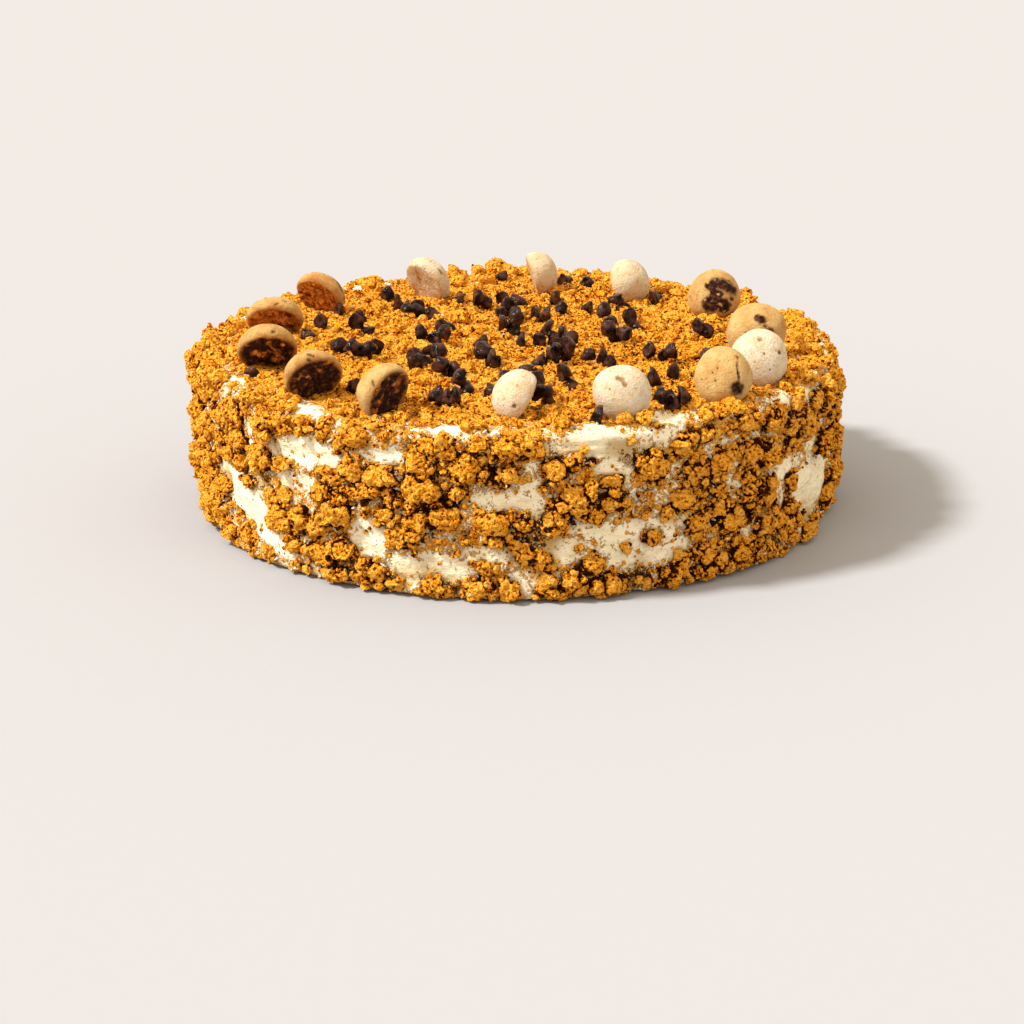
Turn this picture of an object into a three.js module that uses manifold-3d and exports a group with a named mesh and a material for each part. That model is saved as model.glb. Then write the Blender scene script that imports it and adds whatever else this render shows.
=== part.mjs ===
import * as THREE from 'three';
import { mergeVertices } from 'three/addons/utils/BufferGeometryUtils.js';
import Module from 'manifold-3d';

// A round cream cake coated in biscuit crumbs, with chocolate drops and small domed cookies on top.
// Millimetres, +Z up, the flat base on z = 0 and centred on the Z axis, the shown side towards -Y.

// The cake under its crumbs
const cakeRadius = 121.5;
const cakeHeight = 61.5;
const rimRound = 4.5;
const footRound = 1.8;
const bodySides = 144;
const bodyRows = 11;

// Crumb lumps on the side, largest first
const largestLump = 15;
const smallestLump = 5.4;
const sideLumpCount = 340;
const craggyLumpCount = 12;
const sideSeed = 4711;

// Crumb lumps on the top
const topLumpCount = 34;
const largestTopLump = 8;
const smallestTopLump = 5;
const topSeed = 977;

// Chocolate drops
const chipRadius = 3.9;
const chipHeight = 6.8;
const chipSink = 0.9;
const chipSeed = 313;
const chipSides = 6;

// Domed cookies, sunk a little in the top
const cookieSink = 2.5;
const cookieSides = 12;
const cookieGap = 0.35;

const crumbColour = 0xd08a35;

// Each cookie: plan place, diameter, heading and elevation of the way its flat underside faces in
// degrees, depth as a share of the radius, and colour
const cookies = [
  { x: -78, y: 54, across: 21, heading: -120, elevation: -34, depth: 0.9, colour: 0xcf9a5c },
  { x: -94, y: 14, across: 23, heading: -90, elevation: -45, depth: 0.82, colour: 0xd2a368 },
  { x: -93, y: -35, across: 23, heading: -83, elevation: -40, depth: 0.87, colour: 0xd0a065 },
  { x: -74, y: -75, across: 22, heading: -67, elevation: -31, depth: 0.87, colour: 0xd8ab70 },
  { x: -48, y: -98, across: 21, heading: -41, elevation: -20, depth: 1.05, colour: 0xd9a96c },
  { x: -2, y: -100, across: 19.5, heading: 14, elevation: -35, depth: 1.05, colour: 0xe8d2ac },
  { x: 37, y: -104, across: 20.5, heading: 92, elevation: -12, depth: 1.05, colour: 0xecd9b6 },
  { x: 73, y: -81, across: 21.5, heading: 70, elevation: -28, depth: 1, colour: 0xd3a25e },
  { x: 88.5, y: -57, across: 22, heading: 84, elevation: -30, depth: 1.05, colour: 0xe6d1ad },
  { x: 90, y: -22, across: 23, heading: 72, elevation: -14, depth: 1, colour: 0xd0a05c },
  { x: 79.5, y: 44, across: 21, heading: 83, elevation: -17, depth: 1, colour: 0xcf9d5e },
  { x: 48, y: 74, across: 19.5, heading: 150, elevation: -30, depth: 1.1, colour: 0xe0c598 },
  { x: 11, y: 90, across: 19, heading: 187, elevation: -17, depth: 1.15, colour: 0xe6cfa6 },
  { x: -35, y: 76, across: 21, heading: 225, elevation: -28, depth: 0.97, colour: 0xe2c79c },
];

// A cookie's outline as shares of its radius and depth, from the underside to the crown
const cookieOutline = [
  [0, 0.05], [0.8, 0], [0.96, 0.08], [1, 0.24], [0.95, 0.48], [0.79, 0.73], [0.52, 0.91], [0.24, 0.985],
  [0, 1],
];

// Drops lie in heaps: plan place, how many, and how far they spread
const chipHeaps = [
  [-53, 71, 1, 0], [-48, 56, 1, 0], [-71, 46, 1, 0], [-63, 33, 1, 0], [-77, 25, 1, 0], [-81, 4, 1, 0],
  [-27, 22, 1, 0], [-68, -15, 1, 0], [-59, -71, 1, 0], [-24, -51, 2, 5], [-4, -62, 1, 0], [-13, -10, 1, 0],
  [-24, 67, 1, 0], [-13, 57, 2, 3], [-5, 64, 1, 0], [-6, 107, 1, 0], [21, 104, 1, 0], [30, 97, 1, 0],
  [16, 67, 1, 0], [18, 48, 1, 0], [29, 49, 1, 0], [57, 63, 1, 0], [58, -53, 1, 0], [50, -63, 1, 0],
  [71, -29, 1, 0], [28, -112, 1, 0], [-98, -46, 1, 0], [9, -31, 1, 0], [4, -43, 1, 0], [2, -7, 1, 0],
  [34, -39, 2, 3], [22, -65, 2, 6], [-9, -76, 1, 0], [-39, 42, 4, 9], [-33, 0, 4, 8], [-34, -30, 5, 9],
  [-56, -24, 5, 8], [-58, 14, 2, 6], [-10, -37, 4, 7], [-17, -70, 2, 5], [-25, -89, 3, 5], [-1, 40, 5, 8],
  [-2, 14, 4, 6], [11, 32, 3, 6], [16, -2, 5, 9], [19, -28, 6, 9], [37, 32, 2, 4], [40, 4, 3, 6],
  [48, 25, 2, 5], [54, -27, 3, 6], [10, -90, 4, 6], [54, -93, 4, 7], [44, 58, 2, 4], [74, 8, 2, 4],
];

// Smooth cream left bare on the side: angle and half width in degrees, height and half height,
// and rise per degree
const barePatches = [
  [-129, 9, 47, 5, 0], [-131, 4, 35, 4, 0], [-143, 12, 19, 6, -1], [-115.5, 3.5, 19, 7, 0],
  [-104, 7, 11, 5, 0], [-112, 3, 50, 3, 0], [-93, 4, 36, 3, 0], [-95, 5, 17, 3, 0], [-87, 4, 8, 4, 0],
  [-88, 2.5, 38, 5, 0], [-74, 12, 56, 4.5, 0], [-74, 4, 47, 3, 0], [-68, 8, 18, 9, 0], [-77, 3, 25, 3, 0],
  [-83, 3, 18, 5, 0], [-24, 9, 20, 11, 0], [-37, 3, 33, 3, 0], [34, 10, 40, 6, 0.4], [66, 7, 16, 8, 0],
  [101, 12, 36, 6, -0.5], [138, 8, 22, 9, 0], [165, 9, 48, 5, 0],
];

// Where the lumps lie thickest: angle, half width, height, half height
const denseZones = [
  [-119, 11, 32, 14], [-122, 8, 6, 7], [-100, 5, 6, 7], [-98, 10, 45, 11], [-46, 12, 28, 29],
  [-170, 10, 30, 28], [5, 12, 30, 28], [50, 12, 30, 28], [118, 10, 20, 20],
];

// Lumps that stand out: angle, height, size
const boldLumps = [
  [-175, 18, 14], [-74, 35, 9.5], [-84, 47, 9], [-67, 20, 8], [-47, 27, 11.5], [-42, 27, 11],
  [-34, 17, 9.5], [-31, 11, 8], [-85, 6.5, 9], [-2, 29, 11], [-5, 9, 10], [-139, 40, 12], [-121, 27, 13],
  [-106, 29, 12],
];

const degree = Math.PI / 180;
const wasm = await Module();
wasm.setup();

// Even draws between 0 and 1, the same for the same seed
function drawsFrom(seed) {
  let state = seed;
  return () => {
    state = (state * 16807) % 2147483647;
    return state / 2147483647;
  };
}

// The cream's uneven radius at an angle in radians and a height
function sideRadius(angle, z) {
  const broad = 0.7 * Math.sin(3 * angle + 0.8) + 0.45 * Math.sin(7 * angle + 0.09 * z);
  return cakeRadius + broad + 0.35 * Math.sin(13 * angle - 0.16 * z + 2);
}

// The cream's uneven height at a place on the top
function topHeight(x, y) {
  const broad = 0.25 * Math.sin(0.061 * x + 1) * Math.cos(0.052 * y);
  return cakeHeight + broad + 0.15 * Math.sin(0.13 * x - 0.09 * y);
}

function insidePatch(patch, angle, z, margin) {
  const [centre, halfWidth, height, halfHeight, rise] = patch;
  const turn = ((angle - centre + 540) % 360) - 180;
  const across = turn / (halfWidth + margin / 2.1);
  const up = (z - height - rise * turn) / (halfHeight + margin);
  return across * across + up * up < 1;
}

function insideZone(zone, angle, z) {
  const [centre, halfWidth, height, halfHeight] = zone;
  const turn = ((angle - centre + 540) % 360) - 180;
  return Math.abs(turn) < halfWidth && Math.abs(z - height) < halfHeight;
}

// Places and sizes of the side's lumps, each clear of the bare cream and not piled on its neighbours
function sideLumps() {
  const draw = drawsFrom(sideSeed);
  const lumps = boldLumps.map(([angle, z, size]) => ({ angle, z, size }));
  for (let tries = 0; lumps.length < sideLumpCount && tries < 9000; tries++) {
    const share = Math.pow(lumps.length / sideLumpCount, 0.6);
    const size = largestLump + (smallestLump - largestLump) * share;
    const angle = draw() * 360 - 180;
    const z = size * 0.46 + draw() * (cakeHeight - 3 - size * 0.46);
    const luck = draw();
    if (luck > 0.5 && !denseZones.some((zone) => insideZone(zone, angle, z))) continue;
    if (barePatches.some((patch) => insidePatch(patch, angle, z, size * 0.3))) continue;
    const near = lumps.some((other) => {
      const turn = ((angle - other.angle + 540) % 360) - 180;
      const gap = Math.hypot(turn * degree * cakeRadius, z - other.z);
      return gap < 0.4 * (size + other.size);
    });
    if (!near) lumps.push({ angle, z, size });
  }
  return lumps;
}

// How far the lowest point of a turned outline lies under its own origin
function lowestPoint(outline, lean) {
  return Math.min(...outline.map(([r, h]) => h * Math.cos(lean) - r * Math.sin(lean)));
}

const chipOutline = [
  [0, -0.33 * chipHeight], [chipRadius, -0.28 * chipHeight], [0.66 * chipRadius, 0.16 * chipHeight],
  [0, 0.67 * chipHeight],
];

// Places of the drops: some upright, most lying on their side, those of a heap piled on each other
function chipPlaces() {
  const draw = drawsFrom(chipSeed);
  const places = [];
  for (const [heapX, heapY, count, spread] of chipHeaps) {
    const heap = [];
    for (let i = 0; i < count; i++) {
      const away = spread * Math.sqrt((i + 0.3 * draw()) / count);
      const bearing = 2.4 * i + 6.28 * draw() * (i ? 0.2 : 1);
      const x = heapX + away * Math.cos(bearing);
      const y = heapY + away * Math.sin(bearing);
      const upright = draw() < 0.27;
      const lean = (upright ? 25 * draw() : 72 + 42 * draw()) * degree;
      const turn = 360 * draw() * degree;
      const size = 0.92 + 0.16 * draw();
      const under = heap.filter((other) => Math.hypot(x - other.x, y - other.y) < 6.2).length;
      const rest = topHeight(x, y) - chipSink + Math.min(under, 2) * 2.6;
      heap.push({ x, y, z: rest - size * lowestPoint(chipOutline, lean), lean, turn, size });
    }
    places.push(...heap);
  }
  return places;
}

// Places and sizes of the top's lumps, between the drops and cookies
function topLumps(chips) {
  const draw = drawsFrom(topSeed);
  const lumps = [];
  for (let tries = 0; lumps.length < topLumpCount && tries < 6000; tries++) {
    const share = lumps.length / topLumpCount;
    const size = largestTopLump + (smallestTopLump - largestTopLump) * share;
    const reach = (cakeRadius - 3) * Math.sqrt(draw());
    const angle = draw() * 360 * degree;
    const x = reach * Math.cos(angle);
    const y = reach * Math.sin(angle);
    const nearChip = chips.some((chip) => Math.hypot(x - chip.x, y - chip.y) < 3.2 + size / 2);
    const nearCookie = cookies.some((c) => Math.hypot(x - c.x, y - c.y) < (c.across + size) / 2);
    const nearLump = lumps.some((o) => Math.hypot(x - o.x, y - o.y) < 0.45 * (size + o.size));
    if (!nearChip && !nearCookie && !nearLump) lumps.push({ x, y, size });
  }
  return lumps;
}

// A geometry as a closed solid, without its seam and the slivers at its poles
function solidOf(geometry) {
  const bare = new THREE.BufferGeometry();
  bare.setAttribute('position', geometry.toNonIndexed().getAttribute('position'));
  const merged = mergeVertices(bare, 1e-4);
  const corners = merged.index.array;
  const kept = [];
  for (let i = 0; i < corners.length; i += 3) {
    const [a, b, c] = corners.slice(i, i + 3);
    if (a !== b && b !== c && a !== c) kept.push(a, b, c);
  }
  const vertProperties = merged.attributes.position.array;
  return new wasm.Manifold(new wasm.Mesh({ numProp: 3, vertProperties, triVerts: new Uint32Array(kept) }));
}

function turnedProfile(points, sides) {
  const profile = points.map(([r, h]) => new THREE.Vector2(r, h));
  const geometry = new THREE.LatheGeometry(profile, sides);
  geometry.rotateX(Math.PI / 2);
  return geometry;
}

// How far the crumb lumps stand out of the cream at an angle in radians and a height
function lumpRise(lumps, angle, z) {
  let rise = 0;
  for (const lump of lumps) {
    const turn = ((angle / degree - lump.angle + 540) % 360) - 180;
    const away = Math.hypot(turn * degree * cakeRadius, z - lump.z) / (0.58 * lump.size);
    if (away < 1) rise = Math.max(rise, 0.46 * lump.size * Math.sqrt(1 - away * away));
  }
  return rise;
}

// The cream with its side raised by the lumps, flat on the base and on the top
function cakeBody(lumps) {
  const spare = 3;
  const rim = cakeHeight - rimRound;
  const points = [[0, -spare], [cakeRadius - footRound, -spare], [cakeRadius - footRound, 0]];
  for (let row = 0; row <= bodyRows; row++) {
    points.push([cakeRadius, footRound + ((rim - footRound) * row) / bodyRows]);
  }
  points.push([cakeRadius - 0.3 * rimRound, cakeHeight - 0.3 * rimRound]);
  points.push([cakeRadius - rimRound, cakeHeight], [cakeRadius - rimRound, cakeHeight + spare]);
  points.push([0, cakeHeight + spare]);
  const draw = drawsFrom(51);
  const shifts = points.map(() => Array.from({ length: bodySides }, () => [draw() - 0.5, draw() - 0.5]));
  const geometry = turnedProfile(points, bodySides);
  const place = geometry.getAttribute('position');
  for (let i = 0; i < place.count; i++) {
    const row = i % points.length;
    const [shiftAround, shiftUp] = shifts[row][Math.floor(i / points.length) % bodySides];
    const onSide = row > 3 && row < points.length - 4 ? 1 : 0;
    const angle = Math.atan2(place.getY(i), place.getX(i)) + (onSide * shiftAround * 2.6) / cakeRadius;
    const z = place.getZ(i) + onSide * shiftUp * 2.6;
    const swell = points[row][0] === 0 ? 0 : sideRadius(angle, z) - cakeRadius + lumpRise(lumps, angle, z);
    const radius = points[row][0] + swell;
    place.setXYZ(i, radius * Math.cos(angle), radius * Math.sin(angle), z);
  }
  return solidOf(geometry).trimByPlane([0, 0, 1], 0).trimByPlane([0, 0, -1], -cakeHeight);
}

// One craggy crumb: a many-faced ball with its corners pushed in and out
function crumbLump(halfSizes, seed) {
  const draw = drawsFrom(seed);
  const geometry = mergeVertices(
    new THREE.IcosahedronGeometry(1, 0).deleteAttribute('normal').deleteAttribute('uv'), 1e-3,
  );
  const place = geometry.getAttribute('position');
  for (let i = 0; i < place.count; i++) {
    const push = 0.86 + 0.34 * draw();
    place.setXYZ(i, place.getX(i) * push, place.getY(i) * push, place.getZ(i) * push);
  }
  geometry.rotateZ(6.28 * draw());
  geometry.scale(...halfSizes);
  return geometry;
}

function sideLumpSolid({ angle, z, size }, index) {
  const around = angle * degree;
  const geometry = crumbLump([size * 0.36, size * 0.52, size * 0.43], 100 + 31 * index);
  geometry.rotateZ(around);
  const reach = sideRadius(around, z) + 0.1 * size;
  geometry.translate(reach * Math.cos(around), reach * Math.sin(around), Math.max(z, size * 0.5 + 0.2));
  return solidOf(geometry);
}

function topLumpSolid({ x, y, size }, index) {
  const geometry = crumbLump([size * 0.5, size * 0.5, size * 0.36], 7000 + 17 * index);
  geometry.translate(x, y, topHeight(x, y) + 0.14 * size);
  return solidOf(geometry);
}

function chipSolid({ x, y, z, lean, turn, size }) {
  const geometry = turnedProfile(chipOutline, chipSides);
  const place = geometry.getAttribute('position');
  for (let i = 0; i < place.count; i++) {
    const curl = Math.max(0, place.getZ(i) / chipHeight);
    place.setX(i, place.getX(i) + 2.6 * curl * curl * chipRadius / chipHeight);
  }
  geometry.scale(size, size, size);
  geometry.rotateY(lean);
  geometry.rotateZ(turn);
  geometry.translate(x, y, z);
  return solidOf(geometry);
}

// One cookie in place, grown by a margin on every side for its pocket
function cookieSolid({ x, y, across, heading, elevation, depth }, index, margin) {
  const radius = across / 2;
  const tall = depth * radius;
  const outline = cookieOutline.map(([r, h]) => [r * radius, h * tall]);
  const geometry = turnedProfile(outline, cookieSides);
  const place = geometry.getAttribute('position');
  for (let i = 0; i < place.count; i++) {
    const around = Math.atan2(place.getY(i), place.getX(i));
    const lobe = 1 + 0.025 * Math.sin(2 * around + index) + 0.02 * Math.sin(3 * around + 2.3 * index);
    place.setXYZ(i, place.getX(i) * lobe, place.getY(i) * lobe, place.getZ(i));
  }
  geometry.translate(0, 0, -tall / 2);
  geometry.scale(1 + margin / radius, 1 + margin / radius, 1 + (2 * margin) / tall);
  geometry.translate(0, 0, tall / 2);
  const lean = Math.PI / 2 + elevation * degree;
  const bearing = (heading + 180) * degree;
  geometry.rotateY(lean);
  geometry.rotateZ(bearing);
  const back = 0.5 * radius * Math.sin(lean);
  const lift = cakeHeight + 0.5 - cookieSink - lowestPoint(outline, lean);
  geometry.translate(x - back * Math.cos(bearing), y - back * Math.sin(bearing), lift);
  return solidOf(geometry);
}

// The largest body of a solid, with any sealed hollow filled
function mainBody(solid) {
  return solid.decompose().reduce((a, b) => (b.volume() > a.volume() ? b : a));
}

function cakeSolid() {
  const chips = chipPlaces();
  const lumps = sideLumps();
  const pieces = [cakeBody(lumps)];
  lumps.slice(0, craggyLumpCount).forEach((lump, index) => pieces.push(sideLumpSolid(lump, index)));
  topLumps(chips).forEach((lump, index) => pieces.push(topLumpSolid(lump, index)));
  chips.forEach((chip) => pieces.push(chipSolid(chip)));
  const pockets = cookies.map((cookie, index) => cookieSolid(cookie, index, cookieGap));
  const joined = wasm.Manifold.union(pieces).trimByPlane([0, 0, 1], 0);
  return mainBody(joined.subtract(wasm.Manifold.union(pockets)).simplify(0.05));
}

function meshOf(solid, name, material) {
  const { numProp, vertProperties, triVerts } = solid.getMesh();
  const geometry = new THREE.BufferGeometry();
  const interleaved = new THREE.InterleavedBuffer(vertProperties, numProp);
  geometry.setAttribute('position', new THREE.InterleavedBufferAttribute(interleaved, 3, 0));
  geometry.setIndex(new THREE.BufferAttribute(triVerts, 1));
  const flat = geometry.toNonIndexed();
  flat.computeVertexNormals();
  const mesh = new THREE.Mesh(flat, material);
  mesh.name = name;
  return mesh;
}

function crumbCoat() {
  return new THREE.MeshStandardMaterial({ color: crumbColour, roughness: 0.9, metalness: 0 });
}

function bakedCookie(colour) {
  return new THREE.MeshStandardMaterial({ color: colour, roughness: 0.8, metalness: 0 });
}

const cookieCake = new THREE.Group();
cookieCake.name = 'cookie_cake';
cookieCake.add(meshOf(cakeSolid(), 'cake', crumbCoat()));
cookies.forEach((cookie, index) => {
  const name = 'cookie_' + String(index + 1).padStart(2, '0');
  cookieCake.add(meshOf(cookieSolid(cookie, index, 0), name, bakedCookie(cookie.colour)));
});

export default cookieCake;
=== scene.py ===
import math

import bmesh
import bpy
import numpy as np
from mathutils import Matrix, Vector, noise
from mathutils.bvhtree import BVHTree


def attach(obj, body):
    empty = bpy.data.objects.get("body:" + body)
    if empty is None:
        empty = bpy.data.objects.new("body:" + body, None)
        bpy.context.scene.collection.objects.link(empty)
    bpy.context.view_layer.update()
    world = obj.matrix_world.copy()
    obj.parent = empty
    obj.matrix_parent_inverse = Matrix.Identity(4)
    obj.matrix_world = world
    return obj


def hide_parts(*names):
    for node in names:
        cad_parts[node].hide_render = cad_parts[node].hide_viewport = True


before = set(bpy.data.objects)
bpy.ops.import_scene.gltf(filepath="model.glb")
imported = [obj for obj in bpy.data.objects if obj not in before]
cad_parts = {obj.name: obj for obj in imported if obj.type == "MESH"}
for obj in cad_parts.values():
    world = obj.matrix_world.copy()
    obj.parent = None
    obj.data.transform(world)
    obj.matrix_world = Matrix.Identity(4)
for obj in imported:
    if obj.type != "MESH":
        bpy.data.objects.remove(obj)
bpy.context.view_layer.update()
scene = bpy.context.scene
print("frame:", len(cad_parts), "nodes")

# Sizes and places are in millimetres, the same numbers as the solids have, and turned into metres
# where a mesh is made. The front of the cake is towards -Y.
mm = 0.001
degree = math.pi / 180

cake = {"radius": 121.5, "height": 61.5, "rimRound": 4.5, "footRound": 1.8}

# Plan place, diameter, heading and elevation of the way the flat underside faces, depth as a share
# of the radius
cookies = [
    (-78, 54, 21, -120, -34, 0.9), (-94, 14, 23, -90, -45, 0.82), (-93, -35, 23, -83, -40, 0.87),
    (-74, -75, 22, -67, -31, 0.87), (-48, -98, 21, -41, -20, 1.05), (-2, -100, 19.5, 14, -35, 1.05),
    (37, -104, 20.5, 92, -12, 1.05), (73, -81, 21.5, 70, -28, 1), (88.5, -57, 22, 84, -30, 1.05),
    (90, -22, 23, 72, -14, 1), (79.5, 44, 21, 83, -17, 1), (48, 74, 19.5, 150, -30, 1.1),
    (11, 90, 19, 187, -17, 1.15), (-35, 76, 21, 225, -28, 0.97),
]
cookieOutline = [
    (0, 0.05), (0.8, 0), (0.96, 0.08), (1, 0.24), (0.95, 0.48), (0.79, 0.73), (0.52, 0.91),
    (0.24, 0.985), (0, 1),
]

# Drops: plan place, and for a heap how many and how far they spread
chipHeaps = [
    (-53, 71), (-48, 56), (-71, 46), (-63, 33), (-77, 25), (-81, 4), (-27, 22), (-68, -15), (-59, -71),
    (-24, -51, 2, 5), (-4, -62), (-13, -10), (-24, 67), (-13, 57, 2, 3), (-5, 64), (-6, 107), (21, 104),
    (30, 97), (16, 67), (18, 48), (29, 49), (57, 63), (58, -53), (50, -63), (71, -29), (28, -112),
    (-98, -46), (9, -31), (4, -43), (2, -7), (34, -39, 2, 3), (22, -65, 2, 6), (-9, -76),
    (-39, 42, 4, 9), (-33, 0, 4, 8), (-34, -30, 5, 9), (-56, -24, 5, 8), (-58, 14, 2, 6),
    (-10, -37, 4, 7), (-17, -70, 2, 5), (-25, -89, 3, 5), (-1, 40, 5, 8), (-2, 14, 4, 6),
    (11, 32, 3, 6), (16, -2, 5, 9), (19, -28, 6, 9), (37, 32, 2, 4), (40, 4, 3, 6), (48, 25, 2, 5),
    (54, -27, 3, 6), (10, -90, 4, 6), (54, -93, 4, 7), (44, 58, 2, 4), (74, 8, 2, 4),
]

# Smooth cream left bare on the side: angle, half width, height, half height, rise per degree
barePatches = [
    (-129, 9, 47, 5, 0), (-131, 4, 35, 4, 0), (-143, 12, 19, 6, -1), (-115.5, 3.5, 19, 7, 0),
    (-104, 7, 11, 5, 0), (-112, 3, 50, 3, 0), (-93, 4, 36, 3, 0), (-95, 5, 17, 3, 0), (-87, 4, 8, 4, 0),
    (-88, 2.5, 38, 5, 0), (-74, 12, 56, 4.5, 0), (-74, 4, 47, 3, 0), (-68, 8, 18, 9, 0), (-77, 3, 25, 3, 0),
    (-83, 3, 18, 5, 0), (-24, 9, 20, 11, 0), (-37, 3, 33, 3, 0), (34, 10, 40, 6, 0.4), (66, 7, 16, 8, 0),
    (101, 12, 36, 6, -0.5), (138, 8, 22, 9, 0), (165, 9, 48, 5, 0),
]

# Where the side's lumps lie thickest: angle, half width, height, half height
denseZones = [
    (-119, 11, 32, 14), (-122, 8, 6, 7), (-100, 5, 6, 7), (-98, 10, 45, 11), (-46, 12, 28, 29),
    (-170, 10, 30, 28), (5, 12, 30, 28), (50, 12, 30, 28), (118, 10, 20, 20),
]

# Lumps that stand out: angle, height, size
boldLumps = [
    (-175, 18, 14), (-74, 35, 9.5), (-84, 47, 9), (-67, 20, 8), (-47, 27, 11.5), (-42, 27, 11),
    (-34, 17, 9.5), (-31, 11, 8), (-85, 6.5, 9), (-2, 29, 11), (-5, 9, 10), (-139, 40, 12), (-121, 27, 13),
    (-106, 29, 12),
]


def drawsFrom(seed):
    state = seed

    def draw():
        nonlocal state
        state = state * 16807 % 2147483647
        return state / 2147483647

    return draw


# The cream's uneven radius at an angle in radians and a height, and its height at a place on the top
def sideRadius(angle, z):
    broad = 0.7 * np.sin(3 * angle + 0.8) + 0.45 * np.sin(7 * angle + 0.09 * z)
    return cake["radius"] + broad + 0.35 * np.sin(13 * angle - 0.16 * z + 2)


def topHeight(x, y):
    broad = 0.25 * np.sin(0.061 * x + 1) * np.cos(0.052 * y)
    return cake["height"] + broad + 0.15 * np.sin(0.13 * x - 0.09 * y)


# Below 1 inside a bare patch
def patchReach(patch, angle, z, margin):
    centre, halfWidth, height, halfHeight, rise = patch
    turn = (angle - centre + 540) % 360 - 180
    across = turn / (halfWidth + margin / 2.1)
    up = (z - height - rise * turn) / (halfHeight + margin)
    return across * across + up * up


def insideZone(zone, angle, z):
    centre, halfWidth, height, halfHeight = zone
    return abs((angle - centre + 540) % 360 - 180) < halfWidth and abs(z - height) < halfHeight


# The lumps on the side, largest first, on the same places as the solid's
sideCoat = {"largest": 15, "smallest": 5.4, "count": 340, "seed": 4711}


def sideLumpPlaces():
    draw = drawsFrom(sideCoat["seed"])
    lumps = list(boldLumps)
    for _ in range(9000):
        if len(lumps) >= sideCoat["count"]:
            break
        share = (len(lumps) / sideCoat["count"]) ** 0.6
        size = sideCoat["largest"] + (sideCoat["smallest"] - sideCoat["largest"]) * share
        angle = draw() * 360 - 180
        z = size * 0.46 + draw() * (cake["height"] - 3 - size * 0.46)
        luck = draw()
        if luck > 0.5 and not any(insideZone(zone, angle, z) for zone in denseZones):
            continue
        if any(patchReach(patch, angle, z, size * 0.3) < 1 for patch in barePatches):
            continue
        near = False
        for otherAngle, otherZ, otherSize in lumps:
            turn = (angle - otherAngle + 540) % 360 - 180
            if math.hypot(turn * degree * cake["radius"], z - otherZ) < 0.4 * (size + otherSize):
                near = True
                break
        if not near:
            lumps.append((angle, z, size))
    return lumps


# The drops, heaped, on the same places as the solid's
drop = {
    "radius": 3.9, "height": 6.8, "sink": 0.9, "seed": 313, "sides": 16, "shown": 0.84, "tipReach": 3.4,
    "dentSize": 2.9, "dentDepth": 0.32,
}
dropFlat = [(0, -0.33), (1, -0.28), (0.66, 0.16), (0, 0.67)]


def dropPlaces():
    draw = drawsFrom(drop["seed"])
    places = []
    for heapX, heapY, *more in chipHeaps:
        count, spread = more or (1, 0)
        heap = []
        for i in range(count):
            away = spread * math.sqrt((i + 0.3 * draw()) / count)
            bearing = 2.4 * i + 6.28 * draw() * (0.2 if i else 1)
            x = heapX + away * math.cos(bearing)
            y = heapY + away * math.sin(bearing)
            upright = draw() < 0.27
            lean = (25 * draw() if upright else 72 + 42 * draw()) * degree
            turn = 360 * draw() * degree
            size = 0.92 + 0.16 * draw()
            under = sum(math.hypot(x - other[0], y - other[1]) < 6.2 for other in heap)
            rest = topHeight(x, y) - drop["sink"] + min(under, 2) * 2.6
            lowest = min(
                h * drop["height"] * math.cos(lean) - r * drop["radius"] * math.sin(lean)
                for r, h in dropFlat
            )
            heap.append((x, y, rest - size * lowest, lean, turn, size))
        places += heap
    return places


topCoat = {"largest": 8, "smallest": 5, "count": 34, "seed": 977}


def topLumpPlaces(drops):
    draw = drawsFrom(topCoat["seed"])
    lumps = []
    for _ in range(6000):
        if len(lumps) >= topCoat["count"]:
            break
        size = topCoat["largest"] + (topCoat["smallest"] - topCoat["largest"]) * len(lumps) / topCoat["count"]
        reach = (cake["radius"] - 3) * math.sqrt(draw())
        angle = draw() * 360 * degree
        x, y = reach * math.cos(angle), reach * math.sin(angle)
        nearDrop = any(math.hypot(x - d[0], y - d[1]) < 3.2 + size / 2 for d in drops)
        nearCookie = any(math.hypot(x - c[0], y - c[1]) < (c[2] + size) / 2 for c in cookies)
        nearLump = any(math.hypot(x - o[0], y - o[1]) < 0.45 * (size + o[2]) for o in lumps)
        if not (nearDrop or nearCookie or nearLump):
            lumps.append((x, y, size))
    return lumps


sideLumpList = sideLumpPlaces()
dropList = dropPlaces()
topLumpList = topLumpPlaces(dropList)
print("places:", len(sideLumpList), "side lumps,", len(dropList), "drops,", len(topLumpList), "top lumps")


# Noise read at many places at once: size is the distance between its swells
def swells(points, size, seed):
    shift = Vector((seed * 3.7, seed * 1.3, seed * 2.9))
    return np.array([noise.noise(Vector(p) / size + shift) for p in points])


# Rounded grains packed side by side: about 0.5 on top of a grain, below 0 in the creases
def grains(points, size, seed):
    shift = Vector((seed * 1.9, seed * 4.1, seed * 0.7))
    return np.array([0.5 - noise.voronoi(Vector(p) / size + shift)[0][0] for p in points])


def smoothStep(low, high, value):
    share = np.clip((value - low) / (high - low), 0, 1)
    return share * share * (3 - 2 * share)


# Plan places turned by an angle in radians
def turned(x, y, angle):
    return x * math.cos(angle) - y * math.sin(angle), x * math.sin(angle) + y * math.cos(angle)


def objectOf(name, data):
    made = bpy.data.objects.new(name, data)
    scene.collection.objects.link(made)
    return made


# A finished piece on the cake, with a number per vertex for each named attribute
def finishedPiece(mesh, attributes, material, replaced=None, smooth=True):
    for title, values in attributes.items():
        numbers = np.asarray(values, dtype=np.float32)
        mesh.attributes.new(title, "FLOAT", "POINT").data.foreach_set("value", numbers)
    mesh.polygons.foreach_set("use_smooth", [smooth] * len(mesh.polygons))
    mesh.materials.append(material)
    piece = objectOf(mesh.name, mesh)
    if replaced:
        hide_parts(replaced)
    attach(piece, "root")
    return piece


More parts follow.
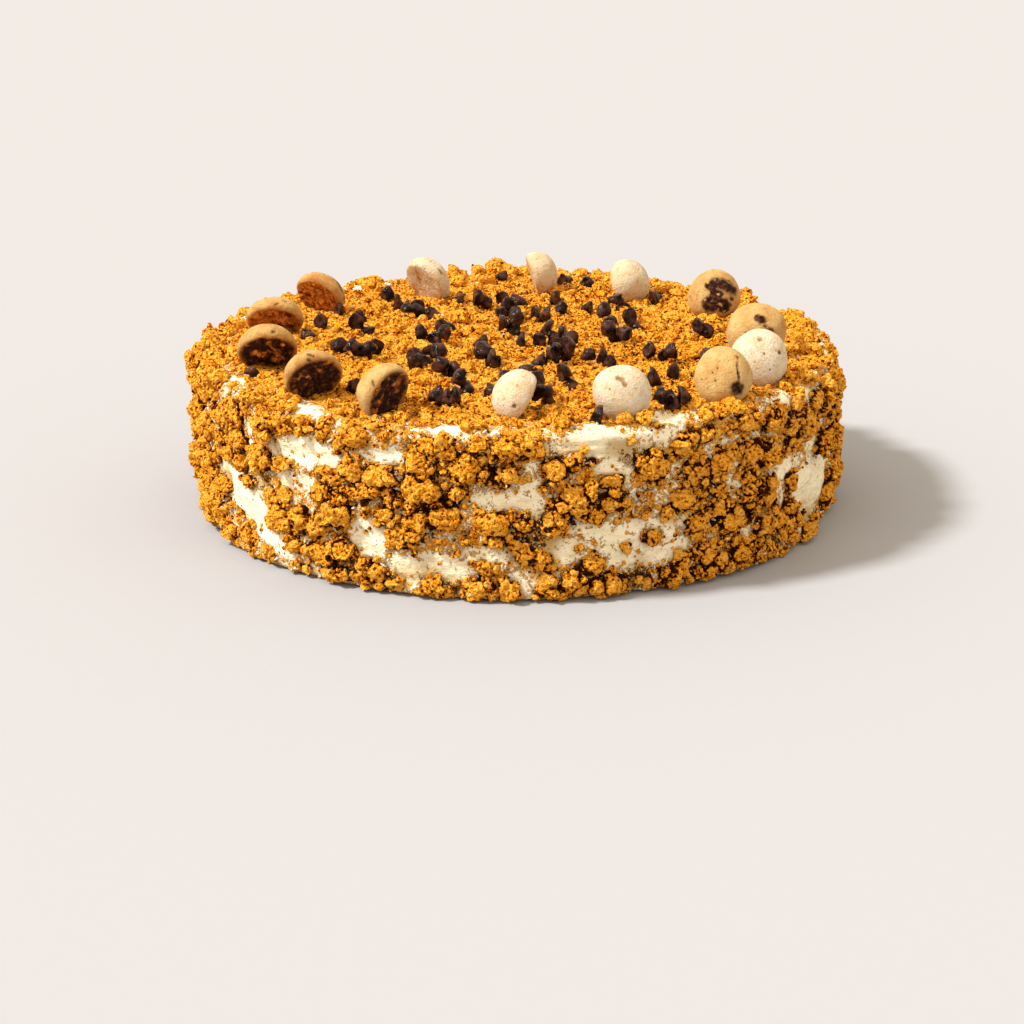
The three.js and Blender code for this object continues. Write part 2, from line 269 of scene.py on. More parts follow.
# Joined crumbs, from places in millimetres and the corners of their faces
def crumbPiece(name, points, corners, tone, smear, smooth=False, **more):
    mesh = bpy.data.meshes.new(name)
    mesh.from_pydata((points * mm).tolist(), [], corners.tolist())
    values = {"tone": tone, "smear": np.full(len(points), smear), **more}
    return finishedPiece(mesh, values, crumbMaterial, smooth=smooth)


# Finishes: a material is a few nodes, joined by these
def newMaterial(name):
    material = bpy.data.materials.new(name)
    material.use_nodes = True
    tree = material.node_tree
    tree.nodes.clear()
    output = tree.nodes.new("ShaderNodeOutputMaterial")
    shader = tree.nodes.new("ShaderNodeBsdfPrincipled")
    tree.links.new(shader.outputs["BSDF"], output.inputs["Surface"])
    place = tree.nodes.new("ShaderNodeTexCoord").outputs["Object"]
    return material, tree, shader, place


def setOrLink(tree, socket, value):
    if isinstance(value, bpy.types.NodeSocket):
        tree.links.new(value, socket)
    else:
        socket.default_value = value


def noiseFac(tree, place, size, detail=3.0, roughness=0.55, distortion=0.0):
    texture = tree.nodes.new("ShaderNodeTexNoise")
    setOrLink(tree, texture.inputs["Vector"], place)
    texture.inputs["Scale"].default_value = 1 / (size * mm)
    texture.inputs["Detail"].default_value = detail
    texture.inputs["Roughness"].default_value = roughness
    texture.inputs["Distortion"].default_value = distortion
    return texture.outputs["Fac"]


def grainFac(tree, place, size):
    texture = tree.nodes.new("ShaderNodeTexVoronoi")
    setOrLink(tree, texture.inputs["Vector"], place)
    texture.inputs["Scale"].default_value = 1 / (size * mm)
    return texture.outputs["Distance"]


def attributeFac(tree, title):
    read = tree.nodes.new("ShaderNodeAttribute")
    read.attribute_name = title
    return read.outputs["Fac"]


def mathOf(tree, operation, first, second, clamp=False):
    step = tree.nodes.new("ShaderNodeMath")
    step.operation = operation
    step.use_clamp = clamp
    setOrLink(tree, step.inputs[0], first)
    setOrLink(tree, step.inputs[1], second)
    return step.outputs[0]


def ramp(tree, fac, stops):
    node = tree.nodes.new("ShaderNodeValToRGB")
    setOrLink(tree, node.inputs["Fac"], fac)
    elements = node.color_ramp.elements
    while len(elements) < len(stops):
        elements.new(0.5)
    for element, (position, colour) in zip(elements, stops):
        element.position = position
        element.color = (*colour, 1)
    return node.outputs["Color"]


def rangeOf(tree, value, low, high, toLow, toHigh):
    step = tree.nodes.new("ShaderNodeMapRange")
    setOrLink(tree, step.inputs["Value"], value)
    step.inputs["From Min"].default_value = low
    step.inputs["From Max"].default_value = high
    step.inputs["To Min"].default_value = toLow
    step.inputs["To Max"].default_value = toHigh
    return step.outputs["Result"]


def mixColours(tree, fac, first, second):
    step = tree.nodes.new("ShaderNodeMix")
    step.data_type = "RGBA"
    colours = [socket for socket in step.inputs if socket.type == "RGBA"]
    setOrLink(tree, step.inputs[0], fac)
    for socket, value in zip(colours, (first, second)):
        setOrLink(tree, socket, (*value, 1) if isinstance(value, tuple) else value)
    return [socket for socket in step.outputs if socket.type == "RGBA"][0]


def bumpFrom(tree, shader, height, distance):
    bump = tree.nodes.new("ShaderNodeBump")
    bump.inputs["Strength"].default_value = 1
    bump.inputs["Distance"].default_value = distance * mm
    setOrLink(tree, bump.inputs["Height"], height)
    tree.links.new(bump.outputs["Normal"], shader.inputs["Normal"])


def surfaceOf(tree, shader, colour, roughness, specular):
    setOrLink(tree, shader.inputs["Base Color"], colour)
    setOrLink(tree, shader.inputs["Roughness"], roughness)
    shader.inputs["Specular IOR Level"].default_value = specular


# Colours of the finishes
finish = {
    # Painted shade: crumb shut in between lumps
    "crumbPaintedShade": (0.035, 0.008, 0.001),
    "crumbDeep": (0.32, 0.075, 0.003),
    "crumbBrown": (0.76, 0.25, 0.009),
    "crumbGold": (1.0, 0.40, 0.022),
    "crumbPale": (1.0, 0.50, 0.075),
    # Painted shade on the cream where it is shut in
    "creamPaintedShade": (0.46, 0.30, 0.105),
    "cream": (0.87, 0.78, 0.575),
    # Painted shade on the cream along its knife strokes
    "creamStrokeShade": (0.78, 0.64, 0.35),
    "creamShred": (0.86, 0.81, 0.70),
    "chocolate": (0.006, 0.0027, 0.0022),
    "chocolateBloom": (0.105, 0.038, 0.023),
    "cookieFreckle": (0.20, 0.075, 0.02),
    "tanCookie": [(0.54, 0.38, 0.155), (0.47, 0.265, 0.088), (0.34, 0.13, 0.03)],
    "paleCookie": [(0.62, 0.535, 0.40), (0.57, 0.42, 0.24), (0.42, 0.21, 0.07)],
}


# Fine and dry, like broken biscuit: small pits in a grainy face
def crumbGrain(tree, place):
    rough = rangeOf(tree, noiseFac(tree, place, 1.1, 2.5, 0.55), 0.34, 0.66, 0, 1)
    pits = rangeOf(tree, grainFac(tree, place, 1.3), 0.5, 0.78, 0, 0.55)
    return mathOf(tree, "SUBTRACT", rough, pits)


def crumbColour(tree, place, grain):
    tone = attributeFac(tree, "tone")
    patchy = noiseFac(tree, place, 5, 3)
    # The grain's height also sets the colour: the crumb's own grain, and painted shade in its pits
    fac = mathOf(tree, "ADD", mathOf(tree, "MULTIPLY", tone, 0.5), mathOf(tree, "MULTIPLY", grain, 0.9))
    fac = mathOf(tree, "ADD", fac, mathOf(tree, "MULTIPLY", patchy, 0.6))
    # Painted shade: the shut-in measure darkens the crumb towards near black in the gaps
    hollow = rangeOf(tree, attributeFac(tree, "hollow"), 0.29, 0.7, 0, 1.15)
    fac = mathOf(tree, "SUBTRACT", fac, hollow)
    fac = rangeOf(tree, fac, 0.2, 1.25, 0, 1)
    return ramp(tree, fac, [
        (0.0, finish["crumbPaintedShade"]), (0.16, finish["crumbDeep"]), (0.38, finish["crumbBrown"]),
        (0.62, finish["crumbGold"]), (1.0, finish["crumbPale"]),
    ])


def makeCrumbMaterial():
    material, tree, shader, place = newMaterial("biscuitCrumb")
    grain = crumbGrain(tree, place)
    colour = crumbColour(tree, place, grain)
    smear = mathOf(tree, "ADD", noiseFac(tree, place, 2.6, 5, 0.75), attributeFac(tree, "smear"))
    smear = rangeOf(tree, smear, 0.70, 0.76, 0, 0.9)
    surfaceOf(tree, shader, mixColours(tree, smear, colour, finish["creamShred"]), 0.95, 0.04)
    bumpFrom(tree, shader, grain, 1.3)
    return material


def makeCreamMaterial():
    material, tree, shader, place = newMaterial("creamAndCrumb")
    coat = attributeFac(tree, "coat")
    fleck = rangeOf(tree, noiseFac(tree, place, 2.2, 5, 0.75), 0.34, 0.66, 0, 1)
    cover = rangeOf(tree, mathOf(tree, "ADD", coat, fleck), 0.96, 1.12, 0, 1)
    specks = rangeOf(tree, noiseFac(tree, place, 1.0, 3, 0.6), 0.665, 0.69, 0, 0.9)
    cover = mathOf(tree, "MAXIMUM", cover, specks)
    grain = crumbGrain(tree, place)
    stretched = tree.nodes.new("ShaderNodeMapping")
    stretched.inputs["Scale"].default_value = (0.4, 0.4, 1.1)
    setOrLink(tree, stretched.inputs["Vector"], place)
    strokes = noiseFac(tree, stretched.outputs["Vector"], 3.4, 3, 0.6, 0.8)
    # Painted shade along the knife strokes
    cream = mixColours(tree, rangeOf(tree, strokes, 0.45, 0.7, 0, 0.7), finish["cream"], finish["creamStrokeShade"])
    # Painted shade on the cream where crumbs shut it in and in its dips
    hollow = rangeOf(tree, attributeFac(tree, "hollow"), 0.14, 0.66, 0, 0.95)
    cream = mixColours(tree, hollow, cream, finish["creamPaintedShade"])
    colour = mixColours(tree, cover, cream, crumbColour(tree, place, grain))
    surfaceOf(tree, shader, colour, rangeOf(tree, cover, 0, 1, 0.55, 0.95), 0.1)
    soft = mathOf(tree, "SUBTRACT", noiseFac(tree, place, 2.4, 5, 0.6), strokes)
    height = mathOf(tree, "ADD", mathOf(tree, "MULTIPLY", cover, mathOf(tree, "ADD", grain, 0.5)), soft)
    bumpFrom(tree, shader, height, 1.1)
    return material


def makeChocolateMaterial():
    material, tree, shader, place = newMaterial("darkChocolate")
    bloom = rangeOf(tree, noiseFac(tree, place, 3.0, 3, 0.55), 0.42, 0.72, 0, 0.9)
    colour = mixColours(tree, bloom, finish["chocolate"], finish["chocolateBloom"])
    gloss = rangeOf(tree, noiseFac(tree, place, 2.2), 0.3, 0.7, 0.10, 0.26)
    surfaceOf(tree, shader, colour, gloss, 0.09)
    bumpFrom(tree, shader, noiseFac(tree, place, 2.2, 3, 0.55), 0.8)
    return material


def makeCookieMaterial(name, colours):
    material, tree, shader, place = newMaterial(name)
    crown, edge, toasted = colours
    mottle = noiseFac(tree, place, 5, 4, 0.6)
    baked = mathOf(tree, "ADD", attributeFac(tree, "baked"), rangeOf(tree, mottle, 0.3, 0.7, -0.3, 0.3), True)
    colour = ramp(tree, baked, [(0.0, crown), (0.55, edge), (1.0, toasted)])
    flecks = rangeOf(tree, noiseFac(tree, place, 1.8, 5, 0.75), 0.54, 0.72, 0, 0.85)
    colour = mixColours(tree, flecks, colour, toasted)
    freckles = rangeOf(tree, grainFac(tree, place, 4.2), 0.06, 0.12, 0.8, 0)
    colour = mixColours(tree, freckles, colour, finish["cookieFreckle"])
    crumbly = ramp(tree, noiseFac(tree, place, 2.0, 4, 0.7), [
        (0.36, (0.12, 0.028, 0.004)), (0.5, (0.50, 0.16, 0.015)), (0.64, (0.80, 0.33, 0.06)),
    ])
    colour = mixColours(tree, attributeFac(tree, "broken"), colour, crumbly)
    dark = ramp(tree, noiseFac(tree, place, 1.6, 4, 0.7), [
        (0.40, (0.012, 0.005, 0.003)), (0.55, (0.040, 0.014, 0.008)), (0.66, (0.19, 0.06, 0.018)),
    ])
    colour = mixColours(tree, attributeFac(tree, "dark"), colour, dark)
    surfaceOf(tree, shader, colour, 0.9, 0.12)
    height = mathOf(tree, "ADD", noiseFac(tree, place, 0.9, 4, 0.65), mathOf(tree, "MULTIPLY", mottle, 0.25))
    bumpFrom(tree, shader, height, 0.8)
    return material


crumbMaterial = makeCrumbMaterial()
creamMaterial = makeCreamMaterial()
chocolateMaterial = makeChocolateMaterial()
tanCookieMaterial = makeCookieMaterial("cookieTan", finish["tanCookie"])
paleCookieMaterial = makeCookieMaterial("cookiePale", finish["paleCookie"])
print("materials: ready")

# The camera of the photograph: place, angle below level, and lens
view = {"place": (-1.6, -983.3, 312.5), "down": 18.0, "lens": 92.0, "sensor": 36}
cameraPlace = np.array(view["place"])
rightWay = np.array((1.0, 0.0, 0.0))
upWay = np.array((0.0, math.sin(view["down"] * degree), math.cos(view["down"] * degree)))


# The cream: how fine its mesh is, its crust of crumbs, and how far crumbs cover it (about 0.5 hides it)
cream = {
    "cells": 200, "rimRows": 6, "sideRows": 55, "crustGrain": 3.4, "sideCover": 0.46, "topCover": 1.08,
    "broadPatches": 0.42, "smallPatches": 0.34, "moreInFront": 0.18, "lessAtRight": 0.2, "dips": 1.1,
}

# Cream that shows through the crumbs on the top: place, half length, half width, heading
topBare = [
    (-117, 0, 9, 6, 90), (-75, -90, 9, 5, -50), (-22, -117, 13, 3.5, 0), (-18, 105, 8, 4, 100),
    (-67, 93, 7, 4, 30), (117, -15, 10, 5, 80), (52, -103, 9, 4, 10), (98, -75, 8, 4, 50),
    (-31, 47, 3.5, 2.5, 20), (60, 88, 6, 3, -20), (-108, 44, 7, 4, 110), (33, -118, 14, 3, 5),
    (6, 118, 7, 3, 0), (104, 40, 6, 3, 70), (8, -50, 2.5, 2, 0), (-45, -105, 6, 3, -25),
    (28, 58, 3, 2, 0), (60, 30, 3, 2, 60), (-101, -56, 8, 2.2, -60), (-112, -30, 8, 2, -75),
]


def creamShell():
    bm = bmesh.new()
    bmesh.ops.create_grid(bm, x_segments=cream["cells"], y_segments=cream["cells"], size=1)
    flatReach = cake["radius"] - cake["rimRound"]
    for vert in bm.verts:  # the square becomes a disc, ring by ring
        a, b = vert.co.x, vert.co.y
        if abs(a) < 1e-6 and abs(b) < 1e-6:
            continue
        if abs(a) >= abs(b):
            reach, angle = a, math.pi / 4 * b / a
        else:
            reach, angle = b, math.pi / 2 - math.pi / 4 * a / b
        vert.co = (reach * flatReach * math.cos(angle), reach * flatReach * math.sin(angle), cake["height"])
    rows = []
    for i in range(1, cream["rimRows"] + 1):
        bend = math.pi / 2 * i / cream["rimRows"]
        rows.append((flatReach + cake["rimRound"] * math.sin(bend),
                     cake["height"] - cake["rimRound"] * (1 - math.cos(bend))))
    sideTop = cake["height"] - cake["rimRound"]
    for i in range(1, cream["sideRows"] + 1):
        rows.append((cake["radius"], sideTop - (sideTop - cake["footRound"]) * i / cream["sideRows"]))
    rows += [(cake["radius"] - 0.5, 0.7), (cake["radius"] - cake["footRound"], 0)]
    rows += [(cake["radius"] * share, 0) for share in (0.8, 0.4)]
    border = [edge for edge in bm.edges if edge.is_boundary]
    for radius, z in rows:
        made = bmesh.ops.extrude_edge_only(bm, edges=border)["geom"]
        for vert in made:
            if isinstance(vert, bmesh.types.BMVert):
                flat = math.hypot(vert.co.x, vert.co.y)
                vert.co = (vert.co.x * radius / flat, vert.co.y * radius / flat, z)
        border = [edge for edge in made if isinstance(edge, bmesh.types.BMEdge) and edge.is_boundary]
    bmesh.ops.contextual_create(bm, geom=border)
    bmesh.ops.recalc_face_normals(bm, faces=bm.faces)
    bm.verts.index_update()
    return bm


creamMesh = creamShell()
shellPoints = np.array([vert.co[:] for vert in creamMesh.verts])
flat = np.hypot(shellPoints[:, 0], shellPoints[:, 1])
angles = np.arctan2(shellPoints[:, 1], shellPoints[:, 0])
angleDegrees = angles / degree
heights = shellPoints[:, 2]
# 0 on the top, 1 on the side, between the two on the rim
upright = np.clip((flat - (cake["radius"] - cake["rimRound"])) / cake["rimRound"], 0, 1)
upright = 1 - np.sqrt(np.clip(1 - upright ** 2, 0, 1))
upright[heights < cake["height"] - cake["rimRound"]] = 1
print("cream: shell of", len(shellPoints), "points")


def crumbCoat():
    broad = swells(shellPoints, 15, 1)
    medium = swells(shellPoints, 5, 2)
    frontMore = np.exp(-((angleDegrees + 75) / 38) ** 2)
    rightLess = np.exp(-((angleDegrees + 34) / 22) ** 2)
    side = cream["sideCover"] + cream["broadPatches"] * broad + cream["smallPatches"] * medium
    side += cream["moreInFront"] * frontMore - cream["lessAtRight"] * rightLess
    onSide = np.flatnonzero(upright > 0.02)
    close = np.zeros(len(onSide))
    halo = np.zeros(len(onSide))
    raised = np.zeros(len(onSide))
    sideAngles, sideHeights = angleDegrees[onSide], heights[onSide]
    for angle, z, size in sideLumpList:
        turn = (sideAngles - angle + 540) % 360 - 180
        away = np.hypot(turn * degree * cake["radius"], sideHeights - z) / size
        close = np.maximum(close, 1 - smoothStep(0.42, 0.78, away))
        halo = np.maximum(halo, 1 - smoothStep(0.6, 1.3, away))
        raised = np.maximum(raised, 0.12 * size * (1 - smoothStep(0.1, 0.5, away)))
    lumpRise = np.zeros(len(shellPoints))
    lumpRise[onSide] = raised
    side[onSide] = np.maximum(side[onSide], 0.85 * close)
    bare = np.zeros(len(onSide))
    for patch in barePatches:
        bare = np.maximum(bare, 1 - smoothStep(0.7, 1.5, patchReach(patch, sideAngles, sideHeights, 0)))
    side[onSide] -= (0.55 + 0.25 * medium[onSide]) * bare
    least = 0.05 + 0.3 * halo + 0.15 * medium[onSide] + 0.17 * frontMore[onSide] - 0.12 * rightLess[onSide]
    side[onSide] = np.maximum(side[onSide], least * (1 - 0.45 * bare))
    top = cream["topCover"] + 0.25 * broad + 0.3 * medium
    top -= 0.44 * smoothStep(104, 119, flat) * (0.8 + 1.3 * broad)
    for x, y, halfLength, halfWidth, heading in topBare:
        along, across = turned(shellPoints[:, 0] - x, shellPoints[:, 1] - y, -heading * degree)
        top -= 0.95 * np.exp(-((along / halfLength) ** 2 + (across / halfWidth) ** 2) * 1.2)
    return np.clip(top * (1 - upright) + side * upright, 0, 1.15), lumpRise


coat, lumpRise = crumbCoat()
crusted = smoothStep(0.38, 0.62, coat)


creamDips = swells(shellPoints, 11, 12)


def creamRelief():
    # long knife strokes round the side, finer and sharper near the top edge
    around = angles * cake["radius"]
    strokes = swells(np.column_stack((np.cos(angles) * 9, np.sin(angles) * 9, heights * 0.9)), 2.2, 5)
    wander = swells(np.column_stack((np.cos(angles) * 14, np.sin(angles) * 14, heights * 0.2)), 1.6, 6)
    bands = (heights + 2.4 * wander) / 3.3
    ledges = bands - np.floor(bands) - 0.4
    ledgeZone = np.exp(-((angleDegrees + 72) / 14) ** 2) * smoothStep(38, 52, heights)
    soft = 0.5 * swells(shellPoints, 7, 7) + cream["dips"] * creamDips
    smooth = 0.5 * strokes + (0.2 + ledgeZone) * ledges * upright + soft
    crust = 1.2 * swells(shellPoints, cream["crustGrain"], 3) + 0.9 * swells(shellPoints, 1.9, 4)
    crust *= 1 + 0.5 * upright
    clumps = (1.0 * grains(shellPoints, 6, 8) + 1.0 * swells(shellPoints, 5, 10)) * (1 - upright)
    return (1 - crusted) * smooth + crusted * (0.2 + crust + clumps), crusted * (crust + 0.5 * clumps)


relief, crustRise = creamRelief()
relief += lumpRise
relief *= smoothStep(0, 1.2, heights)  # flat on the base
base = sideRadius(angles, heights) - cake["radius"]
lift = (topHeight(shellPoints[:, 0], shellPoints[:, 1]) - cake["height"]) * (1 - upright)
outwards = np.column_stack((np.cos(angles) * upright, np.sin(angles) * upright, np.sqrt(1 - upright ** 2)))
shaped = shellPoints.copy()
swell = base * np.minimum(1, flat / 100) * smoothStep(60, 118, flat)
shaped[:, 0] += np.cos(angles) * swell
shaped[:, 1] += np.sin(angles) * swell
shaped[:, 2] += lift
moving = heights > 0.01
shaped[moving] += outwards[moving] * relief[moving, None]
shaped[:, 2] = np.maximum(shaped[:, 2], 0)


# Lighter and browner patches of crumb, wider than a lump
def patches(points):
    browner = np.exp(-((points[:, 0] - 62) / 42) ** 2 - ((points[:, 1] + 5) / 60) ** 2) * (points[:, 2] > 58)
    return 0.5 * swells(points, 8, 91) - 0.22 * browner


def makeCreamBody():
    for vert, place in zip(creamMesh.verts, (shaped * mm).tolist()):
        vert.co = place
    mesh = bpy.data.meshes.new("creamBody")
    creamMesh.to_mesh(mesh)
    # Tone rises with the crust: painted light where the crumbs stand up, painted shade where they sink
    tone = 0.45 - 0.09 * (1 - upright) + 0.5 * swells(shellPoints, 3.5, 9) + 0.22 * crustRise
    values = {"coat": coat, "tone": tone + patches(shellPoints)}
    return finishedPiece(mesh, values, creamMaterial, "cake")


creamBody = makeCreamBody()
print("cream: body made")


def ballOf(level):
    bm = bmesh.new()
    bmesh.ops.create_icosphere(bm, subdivisions=level, radius=1)
    bmesh.ops.recalc_face_normals(bm, faces=bm.faces)
    ways = np.array([vert.co[:] for vert in bm.verts])
    corners = np.array([[vert.index for vert in face.verts] for face in bm.faces])
    bm.free()
    return ways, corners


# The lumps: how they are cut and roughened, and how many smaller pieces stick to each
balls = {level: ballOf(level) for level in (2, 3, 4)}
lump = {
    "cuts": 11, "nearCut": 0.58, "farCut": 0.98, "rough": 2.3, "roughDepth": 1.1, "fine": 1.2,
    "fineDepth": 0.9, "smaller": 2, "creamSmear": 0.055,
}


# A piece of broken biscuit: a ball cut by flat faces, then roughened
def chunkPoints(level, halfSizes, seed):
    ways, corners = balls[level]
    chance = np.random.default_rng(seed)
    faces = chance.normal(size=(lump["cuts"], 3))
    faces /= np.linalg.norm(faces, axis=1)[:, None]
    cuts = chance.uniform(lump["nearCut"], lump["farCut"], lump["cuts"])
    reach = np.min(cuts / np.maximum(ways @ faces.T, 0.2), axis=1)
    body = ways * np.minimum(reach, 1.08)[:, None] * np.array(halfSizes) * 1.1
    rough = swells(body, lump["rough"], seed * 0.61)
    fine = swells(body, lump["fine"], seed * 0.83)
    small = min(1.0, min(halfSizes) / 3.0)
    rise = small * (lump["roughDepth"] * rough + lump["fineDepth"] * fine)
    # Tone follows the roughening: painted shade low in the crevices, painted light high on the knobs
    return body + ways * rise[:, None], corners, 0.25 * rough + 0.25 * fine


# The main piece and smaller ones round it; the first way of each is out of the cake
def clusterParts(level, size, halfShares, seed):
    parts = [chunkPoints(level, [size * 0.92 * share for share in halfShares], seed)]
    chance = np.random.default_rng(seed + 50000)
    for i in range(lump["smaller"]):
        bearing = chance.uniform(0, 6.28)
        smaller = size * chance.uniform(0.3, 0.5)
        halfSizes = [smaller * share for share in (0.5, 0.55, 0.5)]
        points, corners, creaseShade = chunkPoints(2, halfSizes, seed * 7 + i)
        shift = (chance.uniform(-0.12, 0.2), 0.46 * math.cos(bearing), 0.4 * math.sin(bearing))
        parts.append((points + np.array(shift) * size, corners, creaseShade + chance.uniform(-0.25, 0.25)))
    return parts


def joined(parts):
    points, corners, tones = [], [], []
    start = 0
    for partPoints, partCorners, partTones in parts:
        points.append(partPoints)
        corners.append(partCorners + start)
        tones.append(partTones)
        start += len(partPoints)
    return np.concatenate(points), np.concatenate(corners), np.concatenate(tones)


def sideLumpParts():
    chance = np.random.default_rng(11)
    parts = []
    for index, (angle, z, size) in enumerate(sideLumpList):
        level = 4 if size > 12 else 3 if size > 7 else 2
        size *= 1 - 0.22 * math.exp(-((angle + 55) / 22) ** 2)
        around = angle * degree
        reach = sideRadius(around, z) + 0.1 * size
        tone = chance.uniform(0.2, 0.8)
        for points, corners, creaseShade in clusterParts(level, size, (0.36, 0.52, 0.43), 5 + index):
            spots = np.column_stack((*turned(points[:, 0] + reach, points[:, 1], around), points[:, 2]))
            spots[:, 2] = np.maximum(spots[:, 2] + max(z, size * 0.5 + 0.2), 0.02)
            parts.append((spots, corners, tone + creaseShade))
    return parts


def topLumpParts():
    chance = np.random.default_rng(12)
    parts = []
    for index, (x, y, size) in enumerate(topLumpList):
        tone = chance.uniform(0.3, 0.9)
        for points, corners, creaseShade in clusterParts(3, size, (0.36, 0.5, 0.5), 900 + index):
            spots = points[:, [1, 2, 0]] + (x, y, topHeight(x, y) + 0.14 * size)
            parts.append((spots, corners, tone + creaseShade))
    return parts


def triangles(bm):
    quads = np.array([[vert.index for vert in face.verts] for face in bm.faces if len(face.verts) == 4])
    return np.concatenate((quads[:, [0, 1, 2]], quads[:, [0, 2, 3]]))


# Smaller pieces between the lumps, along the rim and piled against the feet of the cookies
small = {
    "onSide": 340, "onRim": 150, "onTop": 260, "smallest": 2.6, "largest": 7.5, "atEachFoot": 8,
    "heap": [(-9, 116.5, 11), (-15, 117, 7.5), (-2, 117, 8.5), (-26, 113, 9), (3, 119, 6)],
}


def sideBitParts():
    chance = np.random.default_rng(47)
    parts = []
    while len(parts) < small["onSide"]:
        angle = chance.normal(-72, 26) if chance.random() < 0.4 else chance.uniform(-180, 180)
        z = chance.uniform(3, cake["height"] - 3) if chance.random() < 0.78 else 2
        size = small["smallest"] + (small["largest"] - small["smallest"]) * chance.random() ** 1.6
        inPatch = min(patchReach(patch, angle, z, 0) for patch in barePatches)
        if inPatch < 1.15 and chance.random() < 0.9:
            continue
        halfSizes = [size * chance.uniform(0.36, 0.62) for _ in range(3)]
        points, corners, creaseShade = chunkPoints(3 if size > 5 else 2, halfSizes, 7000 + len(parts))
        around = angle * degree
        reach = sideRadius(around, z) + 0.05 * size
        up = np.maximum(points[:, 2] + max(z, size * 0.6), 0.02)
        spots = np.column_stack((*turned(points[:, 0] + reach, points[:, 1], around), up))
        parts.append((spots, corners, chance.uniform(0.2, 0.85) + creaseShade))
    return parts


def rimLumpParts():
    chance = np.random.default_rng(31)
    places = []
    for _ in range(small["onRim"]):
        angle = chance.uniform(-180, 180)
        reach = cake["radius"] - chance.uniform(-0.5, 9)
        if abs(angle + 74) < 12 and chance.random() < 0.7:
            continue
        size = chance.uniform(small["smallest"], small["largest"])
        places.append((reach * math.cos(angle * degree), reach * math.sin(angle * degree), size))
    for x, y, across, heading, *_ in cookies:
        for _ in range(small["atEachFoot"]):
            bearing = chance.uniform(0, 6.28)
            reach = across * chance.uniform(0.36, 0.52)
            size = chance.uniform(2.2, 4.6)
            places.append((x + reach * math.cos(bearing), y + reach * math.sin(bearing), size))
    places += small["heap"]
    clear = [(x, y, 5) for x, y, *_ in dropList] + [(x, y, across / 2) for x, y, across, *_ in cookies]
    for _ in range(small["onTop"]):
        bearing, reach = chance.uniform(0, 6.28), 112 * math.sqrt(chance.random())
        x, y = reach * math.cos(bearing), reach * math.sin(bearing)
        size = 3.2 + 4.6 * chance.random() ** 1.5
        if all(math.hypot(x - otherX, y - otherY) > size / 2 + away for otherX, otherY, away in clear):
            places.append((x, y, size))
    parts = []
    for index, (x, y, size) in enumerate(places):
        halfSizes = [size * 0.5, size * 0.5, size * 0.42]
        points, corners, creaseShade = chunkPoints(3 if size > 4.5 else 2, halfSizes, 3000 + index)
        down = 2.5 * smoothStep(117.5, 122.5, math.hypot(x, y))
        spots = points + (x, y, topHeight(x, y) - down + 0.2 * size)
        parts.append((spots, corners, chance.uniform(0.25, 0.85) + creaseShade))
    return parts


bodyTriangles = triangles(creamMesh)
creamMesh.free()
sideLumpMesh = joined(sideLumpParts())
topLumpMesh = joined(topLumpParts() + sideBitParts() + rimLumpParts())
print("lumps:", len(sideLumpMesh[1]) + len(topLumpMesh[1]), "faces")


# Every face of what the crumbs lie on, to tell how shut in a place is for the painted shade
def allFaces():
    points, corners = [], []
    start = 0
    for somePoints, someCorners in (
        (shaped, bodyTriangles), (sideLumpMesh[0], sideLumpMesh[1]), (topLumpMesh[0], topLumpMesh[1]),
    ):
        points += somePoints.tolist()
        corners += (someCorners + start).tolist()
        start += len(somePoints)
    return BVHTree.FromPolygons(points, corners, all_triangles=True)


surroundings = allFaces()
hollowReach = 9
lookWays = [Vector(way) for way in balls[2][0].tolist()]


# Painted shade: 0 where nothing stands near a place, towards 1 where it is shut in
def hollowAt(points, outward):
    shut = np.zeros(len(points))
    for i, (point, out) in enumerate(zip(points.tolist(), outward.tolist())):
        out = Vector(out)
        start = Vector(point) + out * 0.15
        seen = 0
        met = 0
        for way in lookWays[i % 3::3]:
            facing = way.dot(out)
            if facing > 0.1:
                seen += facing
                distance = surroundings.ray_cast(start, way, hollowReach)[3]
                if distance is not None:
                    met += facing * (1 - 0.6 * distance / hollowReach)
        shut[i] = met / max(seen, 1e-6)
    # Painted shade is stronger on the side away from the key light, weaker on the side towards it, and weaker
    # on the top
    fromLight = 0.76 + 0.18 * smoothStep(-115, -50, points[:, 0]) + 0.24 * smoothStep(-50, 60, points[:, 0])
    return shut * (1 - 0.52 * smoothStep(54, 62, points[:, 2])) * fromLight


# Painted shade written on a piece, smoothed along its edges
def writePaintedShade(piece, more=0.0):
    mesh = piece.data
    normals = np.zeros(len(mesh.vertices) * 3, dtype=np.float32)
    places = np.zeros(len(mesh.vertices) * 3, dtype=np.float32)
    mesh.vertex_normals.foreach_get("vector", normals)
    mesh.vertices.foreach_get("co", places)
    shut = hollowAt(places.reshape(-1, 3) / mm, normals.reshape(-1, 3))
    ends = np.zeros(len(mesh.edges) * 2, dtype=np.int32)
    mesh.edges.foreach_get("vertices", ends)
    start, end = ends.reshape(-1, 2).T
    total = len(shut)
    number = 1 + np.bincount(start, minlength=total) + np.bincount(end, minlength=total)
    for _ in range(2):  # so that thin creases stay light and wide gaps dark
        shut = (shut + np.bincount(start, shut[end], total) + np.bincount(end, shut[start], total)) / number
    shut = (shut + more).astype(np.float32)
    mesh.attributes.new("hollow", "FLOAT", "POINT").data.foreach_set("value", shut)


for name, lumpMesh in (("sideLumps", sideLumpMesh), ("topLumps", topLumpMesh)):
    writePaintedShade(crumbPiece(name, *lumpMesh, lump["creamSmear"]))
# Painted shade on the cream body, with more of it in the cream's own dips on the side
writePaintedShade(creamBody, 0.75 * np.maximum(0, -creamDips - 0.05) * upright)  # and in its own dips
print("hollows: found")


